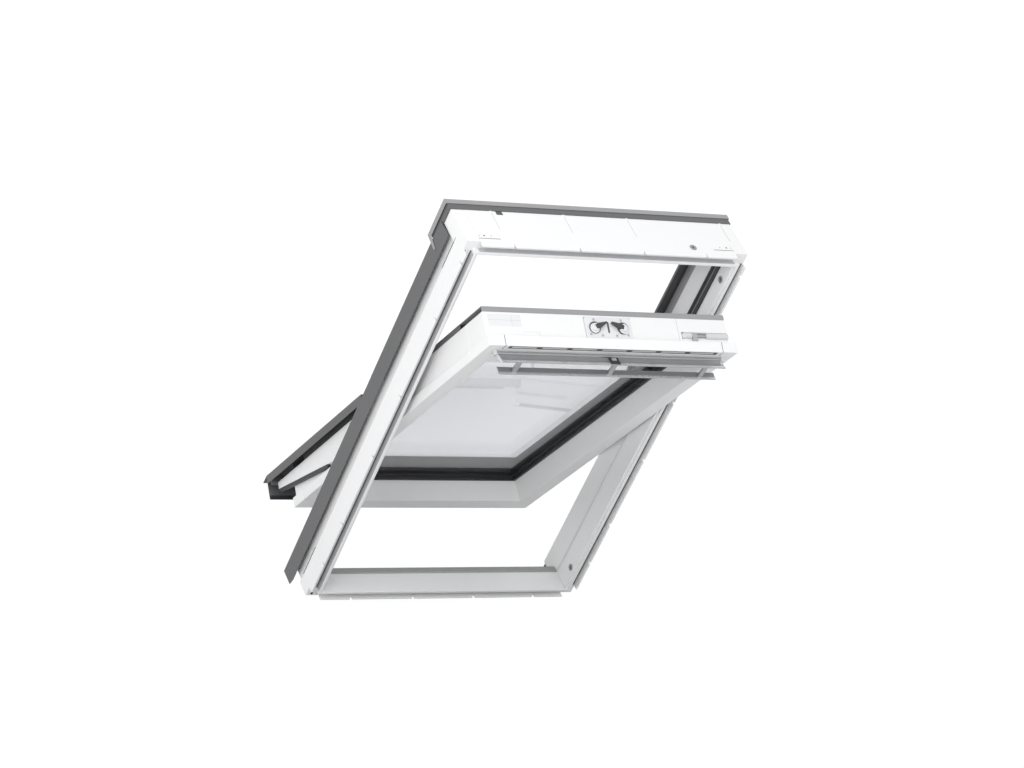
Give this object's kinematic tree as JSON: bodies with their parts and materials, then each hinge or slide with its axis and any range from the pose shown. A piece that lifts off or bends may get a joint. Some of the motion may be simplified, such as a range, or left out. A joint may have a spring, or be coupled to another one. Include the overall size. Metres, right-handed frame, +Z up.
{
  "type": "roof window",
  "caption": "Centre-pivot roof window: white frame and double-glazed sash standing open, grey outside covers, control bar, lock and barrel bolt along the top of the sash.",
  "frame": {"origin": "middle of the outer face of the sill member, 45 mm behind the frame's room side", "axes": "+Z up, +X across the window, -Y towards the room; the frame leans back 45 degrees, up its slope is (0, -0.707, 0.707)"},
  "size_m": [0.7932, 1.1583, 0.9503],
  "materials": {
    "white_finish": "smooth white moulded finish",
    "dark_aluminium": "dark grey lacquer",
    "light_aluminium": "grey lacquered edge",
    "grey_plastic": "dark grey moulded",
    "pale_plastic": "pale grey moulded",
    "rubber": "matt black",
    "grey_rubber": "matt grey",
    "steel": "zinc plated",
    "bar_aluminium": "satin anodised",
    "glass": "clear float glass"
  },
  "bodies": {
    "frame": {"frame_left": "white_finish", "frame_right": "white_finish", "frame_top": "white_finish", "frame_bottom": "white_finish", "corner_screws": "steel", "upper_side_seals": "rubber", "lower_side_seals": "grey_rubber", "head_seal": "rubber", "sill_seal": "grey_rubber", "upper_rails": "grey_plastic", "lower_rails": "grey_plastic", "upper_cover_left": "dark_aluminium", "upper_cover_right": "dark_aluminium", "lower_cover_left": "dark_aluminium", "lower_cover_right": "dark_aluminium", "casing_base": "grey_plastic", "top_casing": "light_aluminium", "casing_clip": "grey_plastic", "head_plug": "grey_plastic", "cover_screws": "steel", "sill_cover": "dark_aluminium", "striker": "steel", "striker_screws": "steel", "bolt_bushings": "pale_plastic", "frame_hinge_left": "steel", "frame_hinge_right": "steel", "friction_washers": "rubber", "hinge_screws": "steel", "hinge_caps": "grey_plastic"},
    "sash": {"sash_left": "white_finish", "sash_right": "white_finish", "sash_top": "white_finish", "sash_bottom": "white_finish", "lip_cover": "white_finish", "vent_filter": "pale_plastic", "vent_grille": "grey_plastic", "inner_pane": "glass", "outer_pane": "glass", "spacer_bar": "rubber", "glazing_gasket": "rubber", "sash_seals": "rubber", "sash_cladding_left": "dark_aluminium", "sash_cladding_right": "dark_aluminium", "sash_cladding_top": "light_aluminium", "sash_cladding_bottom": "dark_aluminium", "sash_hinge_left": "steel", "sash_hinge_right": "steel", "data_plate": "pale_plastic", "lock_case": "steel", "lock_plate": "steel", "lock_rivets": "steel", "bar_brackets": "pale_plastic", "bolt_housing": "steel"},
    "control_bar": {"control_flap": "bar_aluminium", "flap_ends": "pale_plastic", "handle_bar": "bar_aluminium", "bar_latch": "steel"},
    "claw_left": {"claw_left": "steel"},
    "claw_right": {"claw_right": "steel"},
    "barrel_bolt": {"barrel_bolt": "steel"}
  },
  "joints": [
    {"name": "sash_pivot", "type": "hinge", "parent": "frame", "child": "sash", "pos_m": [0, -0.32598, 0.507], "axis": [1, 0, 0], "range_deg": [-25, 129.75]},
    {"name": "control_bar_tilt", "type": "hinge", "parent": "sash", "child": "control_bar", "pos_m": [0, -0.84796, 0.55544], "axis": [1, 0, 0], "range_deg": [0, 30]},
    {"name": "claw_left_turn", "type": "hinge", "parent": "sash", "child": "claw_left", "pos_m": [-0.0385, -0.83854, 0.62225], "axis": [0, -0.9397, 0.342], "range_deg": [0, 45.5]},
    {"name": "claw_right_turn", "type": "hinge", "parent": "sash", "child": "claw_right", "pos_m": [0.0385, -0.83854, 0.62225], "axis": [0, -0.9397, 0.342], "range_deg": [-45.5, 0]},
    {"name": "barrel_bolt_slide", "type": "slide", "parent": "sash", "child": "barrel_bolt", "axis": [1, 0, 0], "range_m": [0, 0.028]}
  ],
  "couplings": [
    {"joint": "claw_left_turn", "follows": "control_bar_tilt", "ratio": 1.5},
    {"joint": "claw_right_turn", "follows": "control_bar_tilt", "ratio": -1.5}
  ]
}
